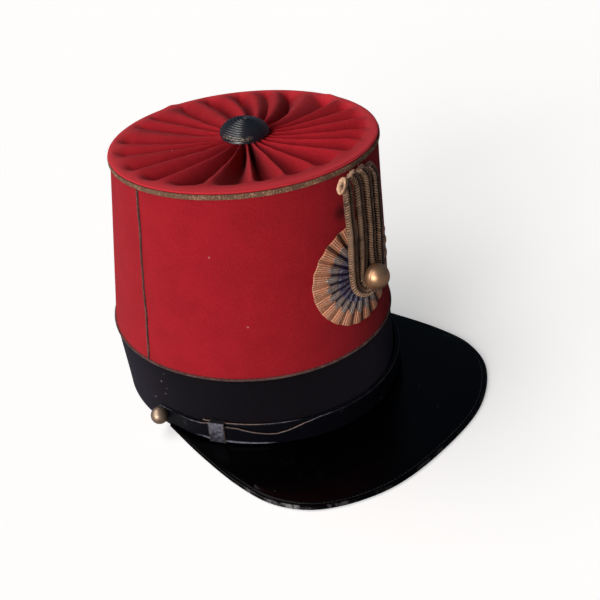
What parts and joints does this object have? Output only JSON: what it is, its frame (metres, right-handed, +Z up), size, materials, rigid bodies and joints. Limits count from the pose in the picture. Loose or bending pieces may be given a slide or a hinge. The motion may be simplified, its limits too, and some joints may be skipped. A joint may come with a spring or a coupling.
{
  "type": "kepi cap",
  "caption": "Tall red cloth kepi with a pleated top, dark cloth band, flat patent leather peak, chin strap and a pleated cockade under looped bullion cord.",
  "frame": {"origin": "on the surface that the cap stands on, below the middle of its bounding box", "axes": "+Z up, -Y the way the peak points, +X the wearer's left"},
  "size_m": [0.2008, 0.2682, 0.185],
  "materials": {
    "red_cloth": "fulled wool cloth, matte with a short nap",
    "black_cloth": "fulled wool cloth, matte",
    "patent_leather": "lacquered, gloss with fine wear",
    "worn_leather": "lacquer rubbed grey",
    "gilt_braid": "tarnished gilt thread, flat woven",
    "piping_cord": "thin round braid, tarnished",
    "bullion": "wire-wrapped cord, tarnished",
    "brass": "domed, softly polished",
    "black_cord": "wound silk cord",
    "copper_ribbon": "pleated metal thread ribbon",
    "silver_ribbon": "pleated metal thread ribbon",
    "blue_ribbon": "pleated silk ribbon"
  },
  "bodies": {
    "root": {"band": "black_cloth", "band_piping": "piping_cord", "chin_strap_left": "patent_leather", "chin_strap_right": "patent_leather", "cockade_button": "brass", "cockade_centre": "blue_ribbon", "cockade_middle": "silver_ribbon", "cockade_outer": "copper_ribbon", "cord_loop_inner": "bullion", "cord_loop_outer": "bullion", "crown_side": "red_cloth", "crown_top": "red_cloth", "peak": "patent_leather", "side_button_left": "brass", "side_button_right": "brass", "side_piping_left": "piping_cord", "side_piping_right": "piping_cord", "strap_keeper_left": "worn_leather", "strap_keeper_right": "worn_leather", "top_braid": "gilt_braid", "top_button": "black_cord"}
  },
  "joints": []
}
